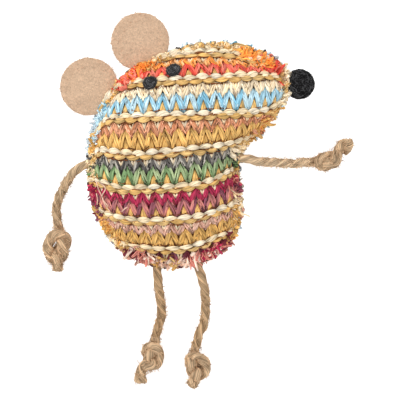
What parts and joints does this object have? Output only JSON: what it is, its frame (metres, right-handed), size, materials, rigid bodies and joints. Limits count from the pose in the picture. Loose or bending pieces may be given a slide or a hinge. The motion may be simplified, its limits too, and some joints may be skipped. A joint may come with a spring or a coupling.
{
  "type": "catnip mouse",
  "caption": "Stuffed mouse toy of striped knitted paper straw with round felt ears, felt eyes, a pompom nose and knotted jute rope arms and legs.",
  "frame": {"origin": "middle of the flat patch on the back panel that the toy lies on", "axes": "+X to the right as the face is seen, towards the snout's side; +Y towards the head; +Z out of the face"},
  "size_m": [0.1453, 0.1767, 0.0335],
  "materials": {
    "straw_knit": "knitted flat paper straw in stripes of many colours, matt with a slight fibre sheen",
    "felt_beige": "pressed beige felt, matt, with a short fuzz",
    "felt_black": "pressed black felt, matt",
    "pompom_black": "black felted ball with short loose fibres",
    "jute_rope": "loosely laid jute rope, dry and fibrous",
    "wadding": "white fibre wadding",
    "catnip": "dried catnip in a thin cloth sachet"
  },
  "bodies": {
    "body": {"front_panel": "straw_knit", "back_panel": "straw_knit", "front_wadding": "wadding", "back_wadding": "wadding", "catnip_sachet": "catnip", "left_ear_tab": "felt_beige", "right_ear_tab": "felt_beige", "left_eye": "felt_black", "right_eye": "felt_black", "nose_ball": "pompom_black", "left_arm_anchor": "jute_rope", "right_arm_anchor": "jute_rope", "left_leg_anchor": "jute_rope", "right_leg_anchor": "jute_rope"},
    "left_arm": {"left_arm_cord": "jute_rope", "left_arm_knot": "jute_rope"},
    "right_arm": {"right_arm_cord": "jute_rope", "right_arm_knot": "jute_rope"},
    "left_leg": {"left_leg_cord": "jute_rope", "left_leg_knot": "jute_rope"},
    "right_leg": {"right_leg_cord": "jute_rope", "right_leg_knot": "jute_rope"},
    "left_ear": {"left_ear": "felt_beige"},
    "right_ear": {"right_ear": "felt_beige"}
  },
  "joints": [
    {"name": "left_arm_swing", "type": "hinge", "parent": "body", "child": "left_arm", "pos_m": [-0.03799, -0.00677, 0.0155], "axis": [0, 0, 1], "range_deg": [-60, 30]},
    {"name": "right_arm_swing", "type": "hinge", "parent": "body", "child": "right_arm", "pos_m": [0.03404, -0.00352, 0.0155], "axis": [0, 0, 1], "range_deg": [-60, 30]},
    {"name": "left_leg_swing", "type": "hinge", "parent": "body", "child": "left_leg", "pos_m": [-0.00499, -0.05591, 0.0155], "axis": [0, 0, 1], "range_deg": [-55, 4]},
    {"name": "right_leg_swing", "type": "hinge", "parent": "body", "child": "right_leg", "pos_m": [0.0142, -0.05453, 0.0155], "axis": [0, 0, 1], "range_deg": [-4, 55]},
    {"name": "left_ear_fold", "type": "hinge", "parent": "body", "child": "left_ear", "pos_m": [-0.02928, 0.02414, 0.0155], "axis": [0.5878, 0.809, 0], "range_deg": [-35, 75], "stiffness_Nm_per_rad": 0.0025},
    {"name": "right_ear_fold", "type": "hinge", "parent": "body", "child": "right_ear", "pos_m": [-0.00869, 0.04234, 0.0155], "axis": [0.891, 0.454, 0], "range_deg": [-35, 75], "stiffness_Nm_per_rad": 0.0025}
  ]
}
